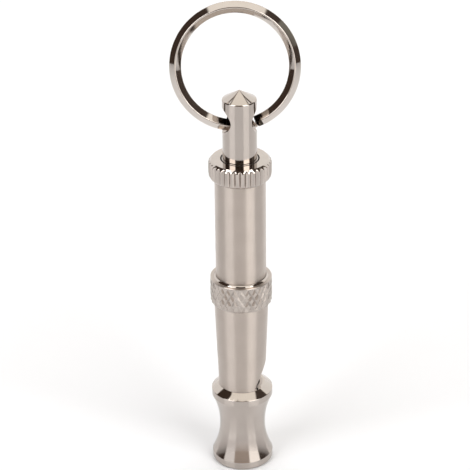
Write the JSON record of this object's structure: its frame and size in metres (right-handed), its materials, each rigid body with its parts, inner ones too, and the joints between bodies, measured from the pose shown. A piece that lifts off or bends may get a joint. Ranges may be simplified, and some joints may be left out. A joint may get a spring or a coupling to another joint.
{
  "type": "dog whistle",
  "caption": "Slim metal ultrasonic dog whistle with a waisted mouthpiece, sloped window, knurled lock ring, screw-tuned barrel and a swivel post with a split key ring.",
  "frame": {"origin": "centre of the blow bore at the mouthpiece's foot, which it stands on", "axes": "+Z along the whistle towards the key ring, +X out of the window, -Y towards the picture's camera"},
  "size_m": [0.0243, 0.012, 0.0959],
  "materials": {
    "satin_nickel": "brass with satin nickel plating",
    "bright_nickel": "steel with bright nickel plating",
    "brass": "plain turned brass",
    "spring_steel": "blank spring steel",
    "seal_rubber": "matt black nitrile"
  },
  "bodies": {
    "body": {"whistle_body": "satin_nickel", "mouthpiece": "satin_nickel", "fipple_plug": "brass"},
    "lock": {"lock_ring": "satin_nickel"},
    "piston": {"piston": "brass", "piston_o_ring": "seal_rubber"},
    "barrel": {"tuning_barrel": "satin_nickel", "piston_rod": "brass"},
    "post": {"swivel_post": "satin_nickel", "post_clip": "spring_steel"},
    "ring": {"key_ring": "bright_nickel"}
  },
  "joints": [
    {"name": "tuning_slide", "type": "slide", "parent": "body", "child": "piston", "axis": [0, 0, 1], "range_m": [0, 0.006]},
    {"name": "barrel_turn", "type": "hinge", "parent": "piston", "child": "barrel", "pos_m": [0, 0, 0.045], "axis": [0, 0, 1], "range_deg": [0, 2160]},
    {"name": "lock_turn", "type": "hinge", "parent": "body", "child": "lock", "pos_m": [0, 0, 0.0386], "axis": [0, 0, 1], "range_deg": [0, 90]},
    {"name": "post_swivel", "type": "hinge", "parent": "barrel", "child": "post", "pos_m": [0, 0, 0.066], "axis": [0, 0, 1], "continuous": true},
    {"name": "ring_swing", "type": "hinge", "parent": "post", "child": "ring", "pos_m": [0, 0, 0.0744], "axis": [0.9925, 0.1219, 0], "range_deg": [-149, 175]}
  ],
  "couplings": [
    {"joint": "tuning_slide", "follows": "barrel_turn", "m_per_rad": 0.00015915}
  ]
}
